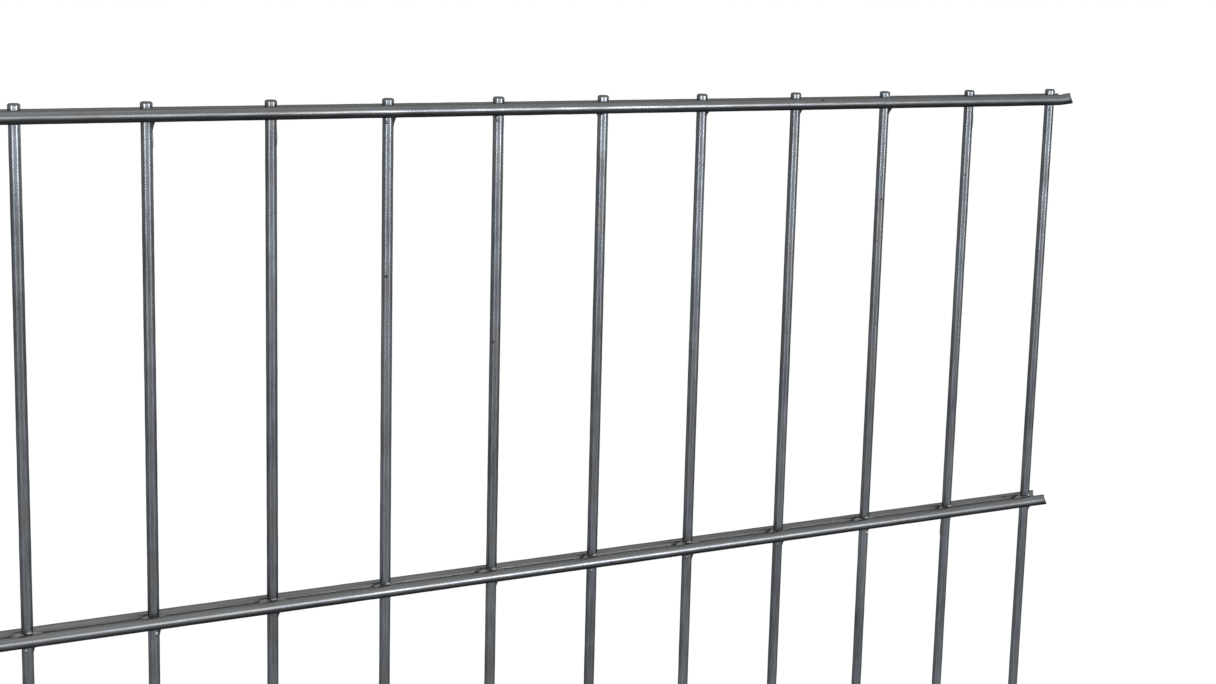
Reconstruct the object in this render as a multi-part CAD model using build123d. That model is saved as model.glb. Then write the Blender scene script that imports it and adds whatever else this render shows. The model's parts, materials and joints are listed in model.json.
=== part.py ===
"""Double wire mesh fence panel, a flat grid of welded round steel wires.

Upright wires stand in one plane.  Every row has two cross wires, one in front of the uprights and
one behind, pressed into them and welded at each crossing.  Millimetres, +X along the panel,
+Y from front to back, +Z up.  The origin is the middle of the bottom edge.
"""
import os
from math import sqrt

from build123d import *

# Wire stock
upright_diameter = 4.5
cross_wire_diameter = 5.0

# Mesh
upright_pitch = 50.0
upright_count = 41
row_pitch = 200.0
row_count = 6

# What stands past the outermost crossings
tip_reveal = 2.5  # uprights above the top row's wires
spike_length = 22.5  # uprights below the bottom row's wires
cross_wire_stub = 11.0  # cross wires past the axis of the end uprights

# Welds
weld_set_down = 0.1  # how far a cross wire is pressed into an upright
weld_bead_width = 0.6  # bead all round the pressed contact patch

# Cropped ends, rounded over by the zinc
end_round = 0.5

upright_radius = upright_diameter / 2
cross_wire_radius = cross_wire_diameter / 2
cross_wire_offset = upright_radius + cross_wire_radius - weld_set_down

bottom_row_z = spike_length + cross_wire_radius
top_row_z = bottom_row_z + (row_count - 1) * row_pitch
panel_height = top_row_z + cross_wire_radius + tip_reveal
end_upright_x = (upright_count - 1) * upright_pitch / 2
panel_width = 2 * (end_upright_x + cross_wire_stub)

# Half the contact patch of two crossed wires, measured along the cross wire and along the upright
patch_half_width = sqrt(upright_radius**2 - (cross_wire_offset - cross_wire_radius) ** 2)
patch_half_height = sqrt(cross_wire_radius**2 - (cross_wire_offset - upright_radius) ** 2)

upright_places = [i * upright_pitch - end_upright_x for i in range(upright_count)]
row_heights = [bottom_row_z + i * row_pitch for i in range(row_count)]
sides = {"front": -1, "back": 1}


def round_wire(radius, length):
    """A straight wire along Z that starts at the origin, both cropped rims rounded."""
    wire = Cylinder(radius, length, align=(Align.CENTER, Align.CENTER, Align.MIN))
    return fillet(wire.edges().filter_by(GeomType.CIRCLE), end_round)


def upright():
    """An upright wire on the origin."""
    return round_wire(upright_radius, panel_height)


def cross_wire(side):
    """A cross wire at height zero with a saddle pressed in at every upright."""
    wire = Rot(0, 90, 0) * round_wire(cross_wire_radius, panel_width)
    wire = Pos(-panel_width / 2, side * cross_wire_offset, 0) * wire
    saddle = Cylinder(upright_radius, 2 * cross_wire_diameter)
    return wire - [Pos(x, 0, 0) * saddle for x in upright_places]


def weld_bead(side):
    """The ring of weld metal and zinc in the crevice round one contact patch, at the origin."""
    outline = Ellipse(patch_half_width + weld_bead_width, patch_half_height + weld_bead_width)
    core = extrude(Plane.XZ * outline, -side * cross_wire_offset)
    crossed_upright = Cylinder(upright_radius, 2 * cross_wire_diameter)
    crossed_wire = Rot(0, 90, 0) * Cylinder(cross_wire_radius, 2 * cross_wire_diameter)
    return core - crossed_upright - Pos(0, side * cross_wire_offset, 0) * crossed_wire


def write(node, shape):
    export_step(shape, os.path.join("parts", node + ".step"))


os.makedirs("parts", exist_ok=True)

one_upright = upright()
for number, x in enumerate(upright_places, start=1):
    write(f"upright_{number:02d}", Pos(x, 0, 0) * one_upright)

one_cross_wire = {name: cross_wire(side) for name, side in sides.items()}
one_bead = {name: weld_bead(side) for name, side in sides.items()}
for number, z in enumerate(row_heights, start=1):
    for name in sides:
        write(f"row_{number}_{name}_wire", Pos(0, 0, z) * one_cross_wire[name])
    beads = [Pos(x, 0, z) * one_bead[name] for name in sides for x in upright_places]
    write(f"row_{number}_welds", Compound(children=beads))

print(f"panel {panel_width:.1f} x {2 * (cross_wire_offset + cross_wire_radius):.1f} x {panel_height:.1f} mm")
print(f"contact patch {2 * patch_half_width:.2f} x {2 * patch_half_height:.2f} mm")
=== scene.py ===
import json
import math

import bpy
from mathutils import Matrix, Vector

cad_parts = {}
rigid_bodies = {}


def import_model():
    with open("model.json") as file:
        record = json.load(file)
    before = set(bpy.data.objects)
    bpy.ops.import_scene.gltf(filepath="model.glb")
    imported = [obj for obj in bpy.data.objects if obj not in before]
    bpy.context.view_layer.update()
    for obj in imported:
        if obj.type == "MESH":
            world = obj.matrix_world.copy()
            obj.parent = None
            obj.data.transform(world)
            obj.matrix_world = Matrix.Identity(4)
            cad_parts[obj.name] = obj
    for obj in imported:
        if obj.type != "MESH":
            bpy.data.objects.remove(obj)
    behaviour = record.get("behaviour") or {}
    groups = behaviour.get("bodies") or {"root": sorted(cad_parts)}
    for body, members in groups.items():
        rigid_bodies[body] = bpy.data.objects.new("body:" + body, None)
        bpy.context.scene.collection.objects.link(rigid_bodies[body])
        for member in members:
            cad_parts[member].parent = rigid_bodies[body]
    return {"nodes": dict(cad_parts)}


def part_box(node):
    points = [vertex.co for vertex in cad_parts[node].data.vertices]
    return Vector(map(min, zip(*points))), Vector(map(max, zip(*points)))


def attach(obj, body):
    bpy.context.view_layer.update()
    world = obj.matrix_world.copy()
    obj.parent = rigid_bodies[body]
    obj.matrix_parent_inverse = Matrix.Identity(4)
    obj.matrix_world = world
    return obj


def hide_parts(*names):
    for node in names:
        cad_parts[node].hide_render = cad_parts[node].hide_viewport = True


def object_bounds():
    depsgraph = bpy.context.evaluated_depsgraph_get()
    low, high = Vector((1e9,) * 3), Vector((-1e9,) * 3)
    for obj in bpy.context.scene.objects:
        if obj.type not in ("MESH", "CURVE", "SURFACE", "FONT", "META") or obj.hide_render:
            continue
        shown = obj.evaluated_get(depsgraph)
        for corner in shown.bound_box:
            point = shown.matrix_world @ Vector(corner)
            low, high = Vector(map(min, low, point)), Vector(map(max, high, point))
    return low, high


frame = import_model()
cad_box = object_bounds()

# Upright wires
# Cold-drawn round steel wire, cropped to length, welded into the mesh and then dipped in molten zinc.
# The zinc lies on in an uneven skin, is thicker round the tips, and has rounded the rims of the cut ends.
mm = 0.001


def put(tree, kind, inputs=None, **settings):
    """Adds a node, sets its options, and links or sets the inputs that are named."""
    made = tree.nodes.new(kind)
    for name, value in settings.items():
        setattr(made, name, value)
    for key, value in (inputs or {}).items():
        if isinstance(value, bpy.types.NodeSocket):
            tree.links.new(value, made.inputs[key])
        else:
            made.inputs[key].default_value = value
    return made


def calculate(tree, operation, first, second=0.0, third=0.0):
    """One Math node and its result."""
    values = {0: first, 1: second, 2: third}
    return put(tree, "ShaderNodeMath", values, operation=operation).outputs[0]


def combine(tree, operation, first, second):
    """One Vector Math node and the vector it gives."""
    return put(tree, "ShaderNodeVectorMath", {0: first, 1: second}, operation=operation).outputs[0]


def ramp(tree, value, start=0.0, end=1.0, low=0.0, high=1.0, **settings):
    """Goes from low to high while the value goes from start to end, and stays there beyond them."""
    limits = {0: value, 1: start, 2: end, 3: low, 4: high}
    return put(tree, "ShaderNodeMapRange", limits, **settings).outputs[0]


def blend(tree, share, first, second, **settings):
    """The first colour with this share of the second over it."""
    colours = {0: share, 6: first, 7: second}  # 6 and 7 are the two colours of a Mix node
    return put(tree, "ShaderNodeMix", colours, data_type="RGBA", **settings).outputs[2]


def noise(tree, where, per_metre, detail):
    """Soft irregular patches, about this many to a metre."""
    pattern = {"Vector": where, "Scale": per_metre, "Detail": detail}
    return put(tree, "ShaderNodeTexNoise", pattern).outputs[0]


def cell_distance(tree, where, per_metre):
    """How far a place is from the middle of its cell, in cells, with about this many cells to a metre."""
    return put(tree, "ShaderNodeTexVoronoi", {"Vector": where, "Scale": per_metre}).outputs["Distance"]


def sockets(tree, kind, *names, direction="INPUT"):
    """Gives a tree inputs or outputs of one kind."""
    for name in names:
        tree.interface.new_socket(name=name, in_out=direction, socket_type=kind)


def hot_dip_zinc():
    """Shader group: the colour, roughness and relief of a dull hot-dip zinc coat on a wire."""
    patina = (0.094, 0.089, 0.084, 1.0)
    pit_black = (0.012, 0.012, 0.013, 1.0)
    tip_zinc_with_painted_highlight = (0.115, 0.119, 0.12, 1.0)
    tip_coat_and_highlight_edge = 0.6 * mm
    tree = bpy.data.node_groups.new("hot dip zinc", "ShaderNodeTree")
    sockets(tree, "NodeSocketVector", "Run")
    sockets(tree, "NodeSocketColor", "Dull", "Bright", "Dust And Top Light")
    sockets(tree, "NodeSocketFloat", "Rough", "Tip Coat And Highlight Above")
    sockets(tree, "NodeSocketColor", "Color", direction="OUTPUT")
    sockets(tree, "NodeSocketFloat", "Roughness", "Height", direction="OUTPUT")
    given = put(tree, "NodeGroupInput").outputs
    here = put(tree, "ShaderNodeTexCoord").outputs["Object"]
    along = combine(tree, "MULTIPLY", here, given["Run"])

    mottle = noise(tree, here, per_metre=900.0, detail=3.0)
    streaks = noise(tree, along, per_metre=1100.0, detail=2.0)
    clouds = noise(tree, here, per_metre=55.0, detail=3.0)
    grain = noise(tree, here, per_metre=3600.0, detail=2.0)
    die_lines = noise(tree, along, per_metre=5200.0, detail=1.0)
    tone = noise(tree, here, per_metre=13.0, detail=1.0)
    stain = noise(tree, here, per_metre=34.0, detail=3.0)
    specks = cell_distance(tree, here, per_metre=420.0)
    pits = cell_distance(tree, here, per_metre=75.0)

    # Dull and bright zinc lie side by side in streaks and clouds, with patina and small bright specks
    mixed = calculate(tree, "MULTIPLY", streaks, 0.65)
    for pattern, weight in ((mottle, 0.15), (clouds, 0.45)):
        mixed = calculate(tree, "MULTIPLY_ADD", pattern, weight, mixed)
    for pattern, weight in ((grain, 0.1), (tone, 0.5)):
        from_middle = calculate(tree, "SUBTRACT", pattern, 0.5)
        mixed = calculate(tree, "MULTIPLY_ADD", from_middle, weight, mixed)
    colour = blend(tree, ramp(tree, mixed, start=0.46, end=0.84), given["Dull"], given["Bright"])
    colour = blend(tree, ramp(tree, stain, start=0.52, end=0.7, high=0.6), colour, patina)
    colour = blend(tree, ramp(tree, specks, start=0.16, end=0.03, high=0.15), colour, given["Bright"])

    # Dust and painted light lie on what faces up, painted shade darkens what faces down, and the coat has a
    # few black pits
    facing = put(tree, "ShaderNodeNewGeometry").outputs["Normal"]
    upward = put(tree, "ShaderNodeSeparateXYZ", {0: facing}).outputs["Z"]
    colour = blend(tree, ramp(tree, upward, start=0.15, end=0.85, high=0.7), colour, given["Dust And Top Light"])
    painted_underside_shade = ramp(tree, upward, start=0.15, end=-0.4, low=1.0, high=0.2)
    colour = blend(tree, 1.0, colour, painted_underside_shade, blend_type="MULTIPLY")
    colour = blend(tree, ramp(tree, pits, start=0.065, end=0.04, high=0.85), colour, pit_black)

    # Thick zinc on the tips, its colour brighter as a painted highlight, hides most of this, and begins at
    # a height
    height = put(tree, "ShaderNodeSeparateXYZ", {0: here}).outputs["Z"]
    above = calculate(tree, "SUBTRACT", height, given["Tip Coat And Highlight Above"])
    colour = blend(tree, ramp(tree, above, start=0.0, end=tip_coat_and_highlight_edge, high=0.8), colour, tip_zinc_with_painted_highlight)

    # Bright zinc is smoother, and the drawing die has left fine lines along the wire
    unevenness = ramp(tree, mixed, start=0.4, end=0.9, low=1.15, high=0.82)
    rough = calculate(tree, "MULTIPLY", unevenness, given["Rough"])
    relief = streaks
    for pattern, weight in ((mottle, 0.12), (grain, 0.04), (die_lines, 0.1)):
        relief = calculate(tree, "MULTIPLY_ADD", pattern, weight, relief)
    put(tree, "NodeGroupOutput", {"Color": colour, "Roughness": rough, "Height": relief})
    return tree


zinc_group = hot_dip_zinc()
above_everything = 100.0


def zinc_material(name, run, dull, bright, dust_and_top_light, rough, tip_coat_and_highlight_above=above_everything):
    """A dull zinc finish whose streaks follow the wire, with thick zinc painted brighter as a highlight
    above a height.
    """
    made = bpy.data.materials.new(name)
    made.use_nodes = True
    tree = made.node_tree
    tree.nodes.clear()
    coat = put(tree, "ShaderNodeGroup", {
        "Run": run,
        "Dull": (*dull, 1.0),
        "Bright": (*bright, 1.0),
        "Dust And Top Light": (*dust_and_top_light, 1.0),
        "Rough": rough,
        "Tip Coat And Highlight Above": tip_coat_and_highlight_above,
    }, node_tree=zinc_group)
    relief = put(tree, "ShaderNodeBump", {
        "Height": coat.outputs["Height"],
        "Strength": 0.05,
        "Distance": 0.2 * mm,
    })
    skin = put(tree, "ShaderNodeBsdfPrincipled", {
        "Base Color": coat.outputs["Color"],
        "Roughness": coat.outputs["Roughness"],
        "Normal": relief.outputs[0],
        "Metallic": 0.85,
        "Specular Tint": (0.2, 0.2, 0.2, 1.0),
    })
    put(tree, "ShaderNodeOutputMaterial", {"Surface": skin.outputs[0]})
    return made


def scaled(tree, vector, amount):
    """A vector made this many times as long."""
    return put(tree, "ShaderNodeVectorMath", {0: vector, "Scale": amount}, operation="SCALE").outputs[0]


def length_along(tree, vector, axis):
    """How far a vector goes along an axis."""
    return put(tree, "ShaderNodeVectorMath", {0: vector, 1: axis}, operation="DOT_PRODUCT").outputs["Value"]


def drawn_wire():
    """Geometry tree: a round wire from Foot along Axis, its rims rounded, in an uneven skin of zinc."""
    swells_per_metre = 110.0
    stub = 9.0 * mm
    tip_foot = 3.0 * mm
    tip_full = 1.0 * mm
    facing_out = 0.8
    quarter_turn = math.pi / 2
    tree = bpy.data.node_groups.new("drawn wire", "GeometryNodeTree")
    sockets(tree, "NodeSocketVector", "Foot", "Axis")
    sockets(tree, "NodeSocketFloat", "Length", "Radius", "Rim Round")
    sockets(tree, "NodeSocketInt", "Rim Rings", "Rings", "Sides")
    sockets(tree, "NodeSocketFloat", "Shear", "Pinch", "Heel", "Lift", "Tip Swell", "Skin", "Seed")
    sockets(tree, "NodeSocketMaterial", "Finish")
    sockets(tree, "NodeSocketGeometry", "Geometry", direction="OUTPUT")
    given = put(tree, "NodeGroupInput").outputs

    # The rings stand close together round the rims and evenly along the rest of the wire
    index = put(tree, "GeometryNodeInputIndex").outputs[0]
    last = calculate(tree, "SUBTRACT", given["Rings"], 1.0)
    from_far_end = calculate(tree, "SUBTRACT", last, index)
    from_end = calculate(tree, "MINIMUM", index, from_far_end)
    turned = calculate(tree, "DIVIDE", from_end, given["Rim Rings"])
    turned = calculate(tree, "MULTIPLY", turned, quarter_turn)
    turned = calculate(tree, "MINIMUM", turned, quarter_turn)
    rim_rise = calculate(tree, "SUBTRACT", 1.0, calculate(tree, "COSINE", turned))
    rim_inset = calculate(tree, "SUBTRACT", 1.0, calculate(tree, "SINE", turned))
    rings_in_rims = calculate(tree, "MULTIPLY", given["Rim Rings"], 2.0)
    plain_steps = calculate(tree, "SUBTRACT", last, rings_in_rims)
    both_rims = calculate(tree, "MULTIPLY", given["Rim Round"], 2.0)
    plain_length = calculate(tree, "SUBTRACT", given["Length"], both_rims)
    step = calculate(tree, "DIVIDE", plain_length, plain_steps)
    steps_past_rim = calculate(tree, "SUBTRACT", from_end, given["Rim Rings"])
    steps_past_rim = calculate(tree, "MAXIMUM", steps_past_rim, 0.0)
    past_rim = calculate(tree, "MULTIPLY", steps_past_rim, step)
    reach = calculate(tree, "MULTIPLY_ADD", given["Rim Round"], rim_rise, past_rim)
    far_half = calculate(tree, "GREATER_THAN", index, from_far_end)
    far_reach = calculate(tree, "SUBTRACT", given["Length"], reach)
    place = put(tree, "ShaderNodeMix", {0: far_half, 2: reach, 3: far_reach}).outputs[0]
    spot = combine(tree, "ADD", given["Foot"], scaled(tree, given["Axis"], place))

    line = put(tree, "GeometryNodeMeshLine", {"Count": given["Rings"]}).outputs[0]
    line = put(tree, "GeometryNodeSetPosition", {"Geometry": line, "Position": spot}).outputs[0]
    curve = put(tree, "GeometryNodeMeshToCurve", {"Mesh": line}).outputs[0]
    round_section = {"Resolution": given["Sides"], "Radius": 1.0}
    section = put(tree, "GeometryNodeCurvePrimitiveCircle", round_section).outputs[0]
    inset = calculate(tree, "MULTIPLY", given["Rim Round"], rim_inset)
    radius = calculate(tree, "SUBTRACT", given["Radius"], inset)
    wire = put(tree, "GeometryNodeCurveToMesh", {
        "Curve": curve, "Profile Curve": section, "Scale": radius, "Fill Caps": True}).outputs[0]

    # The zinc skin is thicker in some places than in others
    where = put(tree, "GeometryNodeInputPosition").outputs[0]
    swells = {"Vector": where, "W": given["Seed"], "Scale": swells_per_metre, "Detail": 0.0}
    swell = put(tree, "ShaderNodeTexNoise", swells, noise_dimensions="4D").outputs[0]
    thickness = calculate(tree, "MULTIPLY_ADD", swell, 2.0, -0.5)
    thickness = calculate(tree, "MULTIPLY", thickness, given["Skin"])
    outward = put(tree, "GeometryNodeInputNormal").outputs[0]
    push = scaled(tree, outward, thickness)
    wire = put(tree, "GeometryNodeSetPosition", {"Geometry": wire, "Offset": push}).outputs[0]

    # The cropping pinches the ends to a chisel edge that slants, longest near its rounded heel low down
    from_foot = combine(tree, "SUBTRACT", where, given["Foot"])
    run = length_along(tree, from_foot, given["Axis"])
    to_far_end = calculate(tree, "SUBTRACT", given["Length"], run)
    near_foot = ramp(tree, run, start=stub, end=0.0)
    near_far_end = ramp(tree, to_far_end, start=stub, end=0.0)
    parts = put(tree, "ShaderNodeSeparateXYZ", {0: from_foot}).outputs
    height = calculate(tree, "ADD", calculate(tree, "DIVIDE", parts["Z"], given["Radius"]), 1.0)
    depth = calculate(tree, "ABSOLUTE", calculate(tree, "DIVIDE", parts["Y"], given["Radius"]))
    cut = calculate(tree, "MULTIPLY", height, calculate(tree, "MULTIPLY", given["Shear"], 0.5))
    cut = calculate(tree, "MULTIPLY_ADD", depth, given["Pinch"], cut)
    low_down = calculate(tree, "MAXIMUM", calculate(tree, "MULTIPLY_ADD", height, -2.0, 1.0), 0.0)
    heel = calculate(tree, "MULTIPLY", low_down, low_down)
    cut = calculate(tree, "MULTIPLY_ADD", heel, given["Heel"], cut)
    pull = calculate(tree, "MULTIPLY", cut, calculate(tree, "SUBTRACT", near_foot, near_far_end))
    pulled = scaled(tree, given["Axis"], pull)

    # The cropping can bend the last stub up
    rise = calculate(tree, "MULTIPLY", near_far_end, given["Lift"])
    raised = put(tree, "ShaderNodeCombineXYZ", {"Z": rise}).outputs[0]
    bent = combine(tree, "ADD", pulled, raised)

    # The zinc is thicker round the far end, where the last of it froze
    across = combine(tree, "SUBTRACT", from_foot, scaled(tree, given["Axis"], run))
    near_tip = ramp(tree, to_far_end, start=tip_foot, end=tip_full)
    wider = calculate(tree, "MULTIPLY", near_tip, given["Tip Swell"])
    wider = calculate(tree, "DIVIDE", wider, given["Radius"])
    shaped = combine(tree, "ADD", bent, scaled(tree, across, wider))
    wire = put(tree, "GeometryNodeSetPosition", {"Geometry": wire, "Offset": shaped}).outputs[0]

    # Round along the wire and flat across its ends
    across_end = calculate(tree, "ABSOLUTE", length_along(tree, outward, given["Axis"]))
    on_end = calculate(tree, "GREATER_THAN", across_end, facing_out)
    wire = put(tree, "GeometryNodeSetShadeSmooth", {"Geometry": wire, "Shade Smooth": True}).outputs[0]
    flat_ends = {"Geometry": wire, "Selection": on_end, "Shade Smooth": False}
    wire = put(tree, "GeometryNodeSetShadeSmooth", flat_ends).outputs[0]
    wire = put(tree, "GeometryNodeRealizeInstances", {"Geometry": wire}).outputs[0]
    wire = put(tree, "GeometryNodeSetMaterial", {"Geometry": wire, "Material": given["Finish"]}).outputs[0]
    put(tree, "NodeGroupOutput", {"Geometry": wire})
    return tree


def made_by(tree, name, values):
    """A plain mesh piece at the origin, made once by a geometry tree with these values."""
    piece = bpy.data.objects.new(name, bpy.data.meshes.new(name))
    bpy.context.scene.collection.objects.link(piece)
    builder = piece.modifiers.new("builder", "NODES")
    builder.node_group = tree
    for item in tree.interface.items_tree:
        if item.item_type == "SOCKET" and item.in_out == "INPUT" and item.name in values:
            builder[item.identifier] = values[item.name]
    ready = piece.evaluated_get(bpy.context.evaluated_depsgraph_get())
    shape = bpy.data.meshes.new_from_object(ready)
    piece.modifiers.remove(builder)
    empty = piece.data
    piece.data = shape
    bpy.data.meshes.remove(empty)
    shape.name = name
    return piece


def corners(node):
    """The lowest and the highest corner of a CAD node."""
    low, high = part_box(node)
    return Vector(low), Vector(high)


wire_tree = drawn_wire()
zinc_skin = 0.07 * mm
rim_rings = 4
upright_rim = 0.9 * mm
upright_ring_gap = 3.0 * mm
upright_sides = 14
tip_swell = 0.17 * mm
tip_coat_and_highlight_depth = 1.5 * mm
# Above a height near the top, the tips' thick zinc is painted brighter as a highlight, and what faces up
# also gets painted light
upright_zinc = zinc_material(
    "upright zinc", run=(1.0, 1.0, 0.06), dull=(0.062, 0.067, 0.073), bright=(0.14, 0.154, 0.17),
    dust_and_top_light=(0.12, 0.125, 0.115), rough=0.28, tip_coat_and_highlight_above=cad_box[1][2] - tip_coat_and_highlight_depth)
upright_nodes = sorted(name for name in frame["nodes"] if name.startswith("upright_"))
upright_centres = []
for number, name in enumerate(upright_nodes):
    low, high = corners(name)
    middle = (low + high) / 2
    upright_centres.append(middle)
    length = high.z - low.z
    upright = made_by(wire_tree, name + "_zinc", {
        "Foot": (middle.x, middle.y, low.z),
        "Axis": (0.0, 0.0, 1.0),
        "Length": length,
        "Radius": (high.x - low.x) / 2,
        "Rim Round": upright_rim,
        "Rim Rings": rim_rings,
        "Rings": int(length / upright_ring_gap),
        "Sides": upright_sides,
        "Tip Swell": tip_swell,
        "Skin": zinc_skin,
        "Seed": float(number),
        "Finish": upright_zinc,
    })
    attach(upright, "root")
    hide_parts(name)

# Cross wires
# Thicker round wire of the same make, two to a row, one pressed against the front of the uprights and one
# against their backs. Cropped a little past the end uprights and dipped with the rest.
cross_rim = 0.25 * mm
cross_ring_gap = 3.0 * mm
cross_sides = 16
cross_seed = 100.0
front_shear = 2.9 * mm
back_shear = 1.6 * mm
cut_heel = 0.9 * mm
cut_pinch = 2.6 * mm
bent_wire = "row_6_front_wire"
bent_rise = 0.8 * mm
# Its dust colour is also painted light on the wires' upper sides, and their undersides get painted shade
cross_zinc = zinc_material(
    "cross wire zinc", run=(0.06, 1.0, 1.0), dull=(0.075, 0.079, 0.085), bright=(0.14, 0.147, 0.158),
    dust_and_top_light=(0.17, 0.172, 0.168), rough=0.35)
cross_nodes = sorted(name for name in frame["nodes"] if name.startswith("row_") and name.endswith("_wire"))
cross_centres = []
for number, name in enumerate(cross_nodes):
    low, high = corners(name)
    length = high.x - low.x
    radius = (high.z - low.z) / 2
    in_front = "front" in name
    middle_y = low.y + radius if in_front else high.y - radius
    middle = Vector(((low.x + high.x) / 2, middle_y, (low.z + high.z) / 2))
    cross_centres.append(middle)

    # The least that the cut takes off, so that its longest point is where the CAD wire ends
    shear = front_shear if in_front else back_shear
    heel_turn = shear / (8 * cut_heel)
    set_back = shear * (1 - heel_turn) / 4 + cut_heel * heel_turn**2
    cross_wire = made_by(wire_tree, name + "_zinc", {
        "Foot": (low.x - set_back, middle_y, middle.z),
        "Axis": (1.0, 0.0, 0.0),
        "Length": length + 2 * set_back,
        "Radius": radius,
        "Rim Round": cross_rim,
        "Rim Rings": rim_rings,
        "Rings": int(length / cross_ring_gap),
        "Sides": cross_sides,
        "Shear": shear,
        "Pinch": cut_pinch,
        "Heel": cut_heel,
        "Lift": bent_rise if name == bent_wire else 0.0,
        "Skin": zinc_skin,
        "Seed": cross_seed + number,
        "Finish": cross_zinc,
    })
    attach(cross_wire, "root")
    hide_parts(name)

# Weld zinc
# Each crossing is forge-welded, and the dip has filled the crevice round it and the pockets beside it.
# Most crossings keep a web in the corner under the wire, and some a drop, a run or a puddle that froze.
pitch = upright_centres[1].x - upright_centres[0].x
low, high = corners(upright_nodes[0])
upright_radius = (high.x - low.x) / 2
low, high = corners(cross_nodes[0])
cross_radius = (high.z - low.z) / 2
wire_offset = abs(cross_centres[0].y)


def loose_shape(name, points, faces, group):
    """A small smooth shape in a group that a geometry tree picks from."""
    shape = bpy.data.meshes.new(name)
    shape.from_pydata(points, [], faces)
    shape.shade_smooth()
    group.objects.link(bpy.data.objects.new(name, shape))


def tube_faces(rows, columns, ring=False):
    """Quads of a tube of this many rows, each row closed round; in a ring the last row meets the first."""
    faces = []
    for row in range(rows if ring else rows - 1):
        first = row * columns
        second = (row + 1) % rows * columns
        for column in range(columns):
            beside = (column + 1) % columns
            faces.append((first + column, first + beside, second + beside, second + column))
    return faces


def capped_faces(rows, columns):
    """The faces of a tube with a flat cap on each end."""
    first_cap = tuple(range(columns))
    last_cap = tuple(range((rows - 1) * columns, rows * columns))
    return tube_faces(rows, columns) + [first_cap[::-1], last_cap]


def turned_round(faces):
    """The same faces, facing the other way."""
    return [face[::-1] for face in faces]


def crevice_edge(direction, gap):
    """How far out from the crossing, in this direction, the two wires stand this far apart."""
    near = 0.0
    far = 4.0 * upright_radius
    halvings = 40
    for halving in range(halvings):
        out = (near + far) / 2
        x = min(abs(out * math.cos(direction)), upright_radius)
        z = min(abs(out * math.sin(direction)), cross_radius)
        apart = wire_offset - math.sqrt(upright_radius**2 - x**2) - math.sqrt(cross_radius**2 - z**2)
        if apart < gap:
            near = out
        else:
            far = out
    return near


def arc_between(first, bend, last, share):
    """A place on the curve from first to last that the place between them bends towards itself."""
    return first * (1 - share)**2 + bend * 2 * share * (1 - share) + last * share**2


bead_group = bpy.data.collections.new("beads")


def bead(name, around, above):
    """The ring of zinc in the crevice round a crossing, hollow outside, fuller above where it pooled."""
    columns = 16
    shares = (0.0, 0.25, 0.5, 0.75, 1.0)
    bite = 0.06 * mm
    root_gap = 0.25
    inner_edge = 0.5
    rows = [[] for row in range(len(shares) + 1)]
    for column in range(columns):
        direction = 2 * math.pi * column / columns
        sideways = math.cos(direction)
        upward = math.sin(direction)
        gap = around + (above - around) * max(0.0, upward) ** 2
        rim = crevice_edge(direction, gap)
        root = crevice_edge(direction, root_gap * gap)
        rim_x = min(abs(rim * sideways), upright_radius)
        rim_z = min(abs(rim * upward), cross_radius)
        on_upright = -math.sqrt(upright_radius**2 - rim_x**2) + bite
        on_wire = -wire_offset + math.sqrt(cross_radius**2 - rim_z**2) - bite
        middle = (on_upright + on_wire) / 2
        for row, share in enumerate(shares):
            out = arc_between(rim, root, rim, share)
            depth = arc_between(on_upright, middle, on_wire, share)
            rows[row].append((out * sideways, depth, out * upward))
        rows[-1].append((inner_edge * root * sideways, middle, inner_edge * root * upward))
    points = [point for row in rows for point in row]
    loose_shape(name, points, tube_faces(len(rows), columns, ring=True), bead_group)


bead("bead 1", around=0.8 * mm, above=1.8 * mm)
bead("bead 2", around=1.2 * mm, above=2.1 * mm)
bead("bead 3", around=0.6 * mm, above=1.4 * mm)


def web(name, reach, drop, side, group):
    """The web of zinc in the corner under the wire and beside the upright, its free edge curved in."""
    sections = 9
    inner = Vector((0.3 * upright_radius, -0.9 * upright_radius, -0.3 * cross_radius))
    on_wire = Vector((upright_radius + reach, -wire_offset + 0.62 * cross_radius, -0.76 * cross_radius))
    on_upright = Vector((0.9 * upright_radius, -0.4 * upright_radius, -cross_radius - drop))
    hollow = Vector((upright_radius, -0.8 * upright_radius, -0.9 * cross_radius))
    thick = (on_wire - inner).cross(on_upright - inner).normalized()
    profile = ((1.0, 0.0), (0.85, -0.3 * mm), (0.4, -0.8 * mm), (0.12, -1.1 * mm),
               (0.12, 1.1 * mm), (0.4, 0.8 * mm), (0.85, 0.3 * mm))
    points = []
    for section in range(sections):
        edge = arc_between(on_wire, hollow, on_upright, section / (sections - 1))
        for out, sideways in profile:
            spot = inner.lerp(edge, out) + sideways * thick
            points.append((side * spot.x, spot.y, spot.z))
    faces = capped_faces(sections, len(profile))
    loose_shape(name, points, turned_round(faces) if side < 0 else faces, group)


# The zinc behind is the same turned half round, so its webs are mirrored to hang on the same side
web_group = bpy.data.collections.new("webs")
back_web_group = bpy.data.collections.new("back webs")
for group, side in ((web_group, 1), (back_web_group, -1)):
    web("web 1", reach=1.6 * mm, drop=2.6 * mm, side=side, group=group)
    web("web 2", reach=2.4 * mm, drop=3.8 * mm, side=side, group=group)
    web("web 3", reach=1.2 * mm, drop=4.6 * mm, side=side, group=group)
    web("web 4", reach=1.2 * mm, drop=1.8 * mm, side=-side, group=group)


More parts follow.
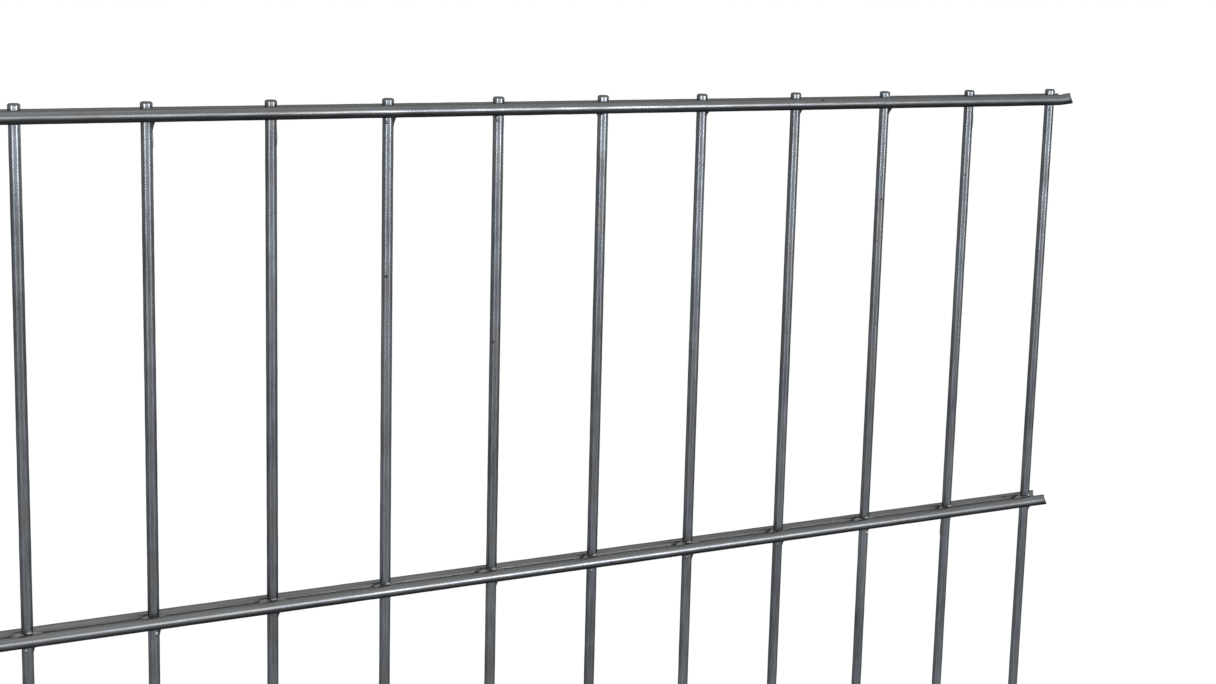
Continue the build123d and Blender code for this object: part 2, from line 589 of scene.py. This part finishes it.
def frozen_drop(name, group, degrees_round, height, size):
    """A drop or run of zinc on the upright, this far round from its front, fullest low down."""
    rows = 7
    columns = 10
    pole_gap = 0.03
    low_fullness = 0.25
    bearing = math.radians(degrees_round)
    seat = 0.92 * upright_radius
    place = Vector((seat * math.sin(bearing), -seat * math.cos(bearing), height))
    half = Vector(size) / 2
    points = []
    for row in range(rows):
        turned = math.pi * (pole_gap + (1 - 2 * pole_gap) * row / (rows - 1))
        level = place.z + half.z * math.cos(turned)
        swell = math.sin(turned) * (1.0 - low_fullness * math.cos(turned))
        for column in range(columns):
            turn = 2 * math.pi * column / columns
            points.append((place.x + half.x * swell * math.cos(turn),
                           place.y + half.y * swell * math.sin(turn), level))
    loose_shape(name, points, turned_round(capped_faces(rows, columns)), group)


drop_group = bpy.data.collections.new("drops")
frozen_drop("drop 1", drop_group, degrees_round=14, height=-cross_radius - 2.6 * mm,
            size=(1.6 * mm, 1.1 * mm, 2.6 * mm))
frozen_drop("drop 2", drop_group, degrees_round=62, height=-cross_radius - 6.5 * mm,
            size=(0.9 * mm, 1.0 * mm, 9.0 * mm))
frozen_drop("drop 3", drop_group, degrees_round=-32, height=-cross_radius - 2.0 * mm,
            size=(1.5 * mm, 1.0 * mm, 1.6 * mm))
puddle_group = bpy.data.collections.new("puddles")
frozen_drop("puddle 1", puddle_group, degrees_round=7, height=1.0 * cross_radius,
            size=(2.8 * mm, 2.0 * mm, 1.7 * mm))
frozen_drop("puddle 2", puddle_group, degrees_round=16, height=1.04 * cross_radius,
            size=(2.2 * mm, 1.8 * mm, 1.9 * mm))
frozen_drop("puddle 3", puddle_group, degrees_round=-5, height=0.97 * cross_radius,
            size=(3.2 * mm, 2.0 * mm, 1.5 * mm))
fill_group = bpy.data.collections.new("fills")


def pocket_fill(name, reach, depth):
    """The zinc that fills the pockets on both sides of the upright, between the two cross wires."""
    rows = 7
    columns = 12
    pole_gap = 0.05
    beside = 0.9 * upright_radius
    level = 0.6 * mm
    points = []
    faces = []
    for side in (-1, 1):
        first = len(points)
        for row in range(rows):
            share = row / (rows - 1)
            swell = math.sin(math.pi * (pole_gap + (1 - 2 * pole_gap) * share))
            for column in range(columns):
                turn = 2 * math.pi * column / columns
                points.append((side * beside + reach * swell * math.cos(turn),
                               upright_radius * swell * math.sin(turn),
                               level + depth * math.cos(math.pi * share)))
        for face in turned_round(capped_faces(rows, columns)):
            faces.append(tuple(first + index for index in face))
    loose_shape(name, points, faces, fill_group)


pocket_fill("fill 1", reach=3.2 * mm, depth=1.3 * mm)
pocket_fill("fill 2", reach=4.4 * mm, depth=1.6 * mm)
pocket_fill("fill 3", reach=2.4 * mm, depth=1.2 * mm)


def row_of_zinc():
    """Geometry tree: the zinc at every crossing of one row, front and back, each place picked at random."""
    draws_a_row = 10.0
    draws_a_face = 5.0
    share_draws = 500.0
    tree = bpy.data.node_groups.new("row of zinc", "GeometryNodeTree")
    sockets(tree, "NodeSocketVector", "First Crossing")
    sockets(tree, "NodeSocketFloat", "Pitch", "Web Share", "Drop Share", "Puddle Share")
    sockets(tree, "NodeSocketInt", "Crossings", "Seed")
    sockets(tree, "NodeSocketCollection", "Beads", "Webs", "Back Webs", "Drops", "Puddles", "Fills")
    sockets(tree, "NodeSocketMaterial", "Finish")
    sockets(tree, "NodeSocketGeometry", "Geometry", direction="OUTPUT")
    given = put(tree, "NodeGroupInput").outputs
    step = put(tree, "ShaderNodeCombineXYZ", {"X": given["Pitch"]}).outputs[0]
    crossings = put(tree, "GeometryNodeMeshLine", {
        "Count": given["Crossings"], "Start Location": given["First Crossing"], "Offset": step}).outputs[0]
    everything = put(tree, "GeometryNodeJoinGeometry")
    choices = (
        ("Beads", None, bead_group),
        ("Webs", "Web Share", web_group),
        ("Drops", "Drop Share", drop_group),
        ("Puddles", "Puddle Share", puddle_group),
        ("Fills", None, fill_group),
    )
    for face, turn in enumerate((0.0, math.pi)):
        for order, (name, share, group) in enumerate(choices):
            if name == "Fills" and face:
                continue
            draw = calculate(tree, "MULTIPLY_ADD", given["Seed"], draws_a_row, draws_a_face * face + order)
            shapes = given["Back Webs" if name == "Webs" and face else name]
            sources = put(tree, "GeometryNodeCollectionInfo", {
                "Collection": shapes, "Separate Children": True, "Reset Children": True}).outputs[0]
            limits = {4: 0, 5: len(group.objects) - 1, "Seed": draw}  # 4 and 5 are the whole numbers
            pick = put(tree, "FunctionNodeRandomValue", limits, data_type="INT").outputs[2]
            placed = put(tree, "GeometryNodeInstanceOnPoints", {
                "Points": crossings, "Instance": sources, "Pick Instance": True, "Instance Index": pick,
                "Rotation": (0.0, 0.0, turn)})
            if share:
                odds = {"Probability": given[share], "Seed": calculate(tree, "ADD", draw, share_draws)}
                chosen = put(tree, "FunctionNodeRandomValue", odds, data_type="BOOLEAN").outputs[3]
                tree.links.new(chosen, placed.inputs["Selection"])
            tree.links.new(placed.outputs[0], everything.inputs[0])
    zinc = put(tree, "GeometryNodeRealizeInstances", {"Geometry": everything.outputs[0]}).outputs[0]
    zinc = put(tree, "GeometryNodeSetMaterial", {"Geometry": zinc, "Material": given["Finish"]}).outputs[0]
    put(tree, "NodeGroupOutput", {"Geometry": zinc})
    return tree


row_tree = row_of_zinc()
wires_a_row = 2
first_row_seed = 7
web_share = 0.7
drop_share = 0.4
puddle_share = 0.8
top_puddle_share = 0.25
# Its light dust colour is also painted light on the tops of the puddles and beads
weld_zinc = zinc_material(
    "weld zinc", run=(1.0, 1.0, 1.0), dull=(0.075, 0.078, 0.08), bright=(0.15, 0.154, 0.158),
    dust_and_top_light=(0.28, 0.28, 0.265), rough=0.46)
weld_nodes = sorted(name for name in frame["nodes"] if name.endswith("_welds"))
for number, name in enumerate(weld_nodes):
    row_height = cross_centres[wires_a_row * number].z
    row_zinc = made_by(row_tree, name + "_zinc", {
        "First Crossing": (upright_centres[0].x, upright_centres[0].y, row_height),
        "Pitch": pitch,
        "Crossings": len(upright_nodes),
        "Beads": bead_group,
        "Webs": web_group,
        "Back Webs": back_web_group,
        "Web Share": web_share,
        "Drops": drop_group,
        "Drop Share": drop_share,
        "Puddles": puddle_group,
        "Puddle Share": top_puddle_share if name == weld_nodes[-1] else puddle_share,
        "Fills": fill_group,
        "Seed": first_row_seed + number,
        "Finish": weld_zinc,
    })
    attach(row_zinc, "root")
    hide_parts(name)
for group in (bead_group, web_group, back_web_group, drop_group, puddle_group, fill_group):
    for source in list(group.objects):
        bpy.data.meshes.remove(source.data)
    bpy.data.collections.remove(group)

# Viewpoint
# Set in front of the panel near its right-hand top corner, turned to the right and tilted a little down,
# so that the view takes in the last eleven uprights and the upper two rows.
corner = Vector((upright_centres[-1].x, upright_centres[-1].y, cross_centres[-1].z))
eye_from_corner = Vector((-0.7032, -0.7830, 0.0660))
image_width = 1216
focal_length_pixels = 2114.7
turned_right = math.radians(30.36)
tilted_down = math.radians(10.51)
leaning = math.radians(1.48)
lens = bpy.data.cameras.new("view")
lens.sensor_width = 36.0
lens.lens = lens.sensor_width * focal_length_pixels / image_width
lens.clip_start = 0.01
viewer = bpy.data.objects.new("view", lens)
bpy.context.scene.collection.objects.link(viewer)
aim = Matrix.Rotation(-turned_right, 4, "Z") @ Matrix.Rotation(math.pi / 2 - tilted_down, 4, "X")
aim = aim @ Matrix.Rotation(leaning, 4, "Z")
viewer.matrix_world = Matrix.Translation(corner + eye_from_corner) @ aim
bpy.context.scene.camera = viewer

# Floor
# A wide studio floor in matt white paint, which the uprights' feet stand on. Away from the panel it glows
# an even white. Close to it most of the white is paint in the lamps' light, so that its shadow shows.
floor_half = 30.0
near_panel = 0.1
off_panel = 0.8
near_glow = 0.35
far_glow = 1.0
paint_shade = 0.8
far_shade = 0.05
floor_corners = [(x * floor_half, y * floor_half, 0) for x, y in ((-1, -1), (1, -1), (1, 1), (-1, 1))]
floor_shape = bpy.data.meshes.new("floor")
floor_shape.from_pydata(floor_corners, [], [(0, 1, 2, 3)])
floor = bpy.data.objects.new("floor", floor_shape)
bpy.context.scene.collection.objects.link(floor)
white = (1.0, 1.0, 1.0, 1.0)


def seen_as_white(tree):
    """One for the rays that show the background: seen directly, mirrored or through glass."""
    path = put(tree, "ShaderNodeLightPath").outputs
    seen = calculate(tree, "MAXIMUM", path["Is Camera Ray"], path["Is Glossy Ray"])
    return calculate(tree, "MAXIMUM", seen, path["Is Transmission Ray"])


floor_paint = bpy.data.materials.new("floor paint")
floor_paint.use_nodes = True
tree = floor_paint.node_tree
tree.nodes.clear()
place = put(tree, "ShaderNodeSeparateXYZ", {0: put(tree, "ShaderNodeTexCoord").outputs["Object"]}).outputs
past_end = calculate(tree, "SUBTRACT", calculate(tree, "ABSOLUTE", place["X"]), cad_box[1][0])
past_end = calculate(tree, "MAXIMUM", past_end, 0.0)
away = calculate(tree, "MULTIPLY", place["Y"], place["Y"])
away = calculate(tree, "SQRT", calculate(tree, "MULTIPLY_ADD", past_end, past_end, away))
far_off = ramp(tree, away, start=near_panel, end=off_panel, interpolation_type="SMOOTHSTEP")
seen = seen_as_white(tree)
own_glow = ramp(tree, far_off, low=near_glow, high=far_glow)
glow_level = calculate(tree, "MULTIPLY", seen, own_glow)
glow = put(tree, "ShaderNodeEmission", {"Color": white, "Strength": glow_level})
seen_far_off = calculate(tree, "MULTIPLY", seen, far_off)
shade = ramp(tree, seen_far_off, low=paint_shade, high=far_shade)
matt = put(tree, "ShaderNodeBsdfDiffuse", {"Color": shade})
painted = put(tree, "ShaderNodeAddShader", {0: matt.outputs[0], 1: glow.outputs[0]})
put(tree, "ShaderNodeOutputMaterial", {"Surface": painted.outputs[0]})
floor_shape.materials.append(floor_paint)

# Light
# A soft box in front to the right, which draws the line of light along the cross wires, one to the left and
# a wide one between them, a weak one past the right-hand end, a faint one overhead, and light all round.
surrounding_light = 0.2
world = bpy.data.worlds.new("studio")
world.use_nodes = True
tree = world.node_tree
tree.nodes.clear()
level = ramp(tree, seen_as_white(tree), low=surrounding_light, high=1.0)
sky = put(tree, "ShaderNodeBackground", {"Color": white, "Strength": level})
put(tree, "ShaderNodeOutputWorld", {"Surface": sky.outputs[0]})
bpy.context.scene.world = world
lit_spot = corner + Vector((-0.3, 0.0, -0.1))


def soft_box(name, offset, width, height, power, colour=white[:3]):
    """A rectangular lamp at this offset from the lit spot, facing it."""
    lamp = bpy.data.lights.new(name, "AREA")
    lamp.shape = "RECTANGLE"
    lamp.size = width
    lamp.size_y = height
    lamp.energy = power
    lamp.color = colour
    box = bpy.data.objects.new(name, lamp)
    bpy.context.scene.collection.objects.link(box)
    place = lit_spot + offset
    facing = (lit_spot - place).to_track_quat("-Z", "Y").to_matrix().to_4x4()
    box.matrix_world = Matrix.Translation(place) @ facing


soft_box("right soft box", offset=3.0 * Vector((0.46, -0.88, 0.09)), width=0.6, height=0.9, power=70.0)
soft_box("left soft box", offset=3.0 * Vector((-0.82, -0.57, 0.09)), width=0.7, height=0.9, power=60.0,
         colour=(0.96, 0.98, 1.0))
soft_box("wide soft box", offset=3.2 * Vector((-0.25, -0.96, 0.1)), width=2.8, height=0.8, power=44.0,
         colour=(0.97, 0.98, 1.0))
soft_box("back soft box", offset=3.0 * Vector((0.95, 0.3, 0.03)), width=0.8, height=1.0, power=14.0)
soft_box("top soft box", offset=Vector((0.0, -0.4, 3.0)), width=2.0, height=2.0, power=8.0,
         colour=(1.0, 1.0, 0.97))

bpy.context.scene.view_settings.view_transform = "Standard"
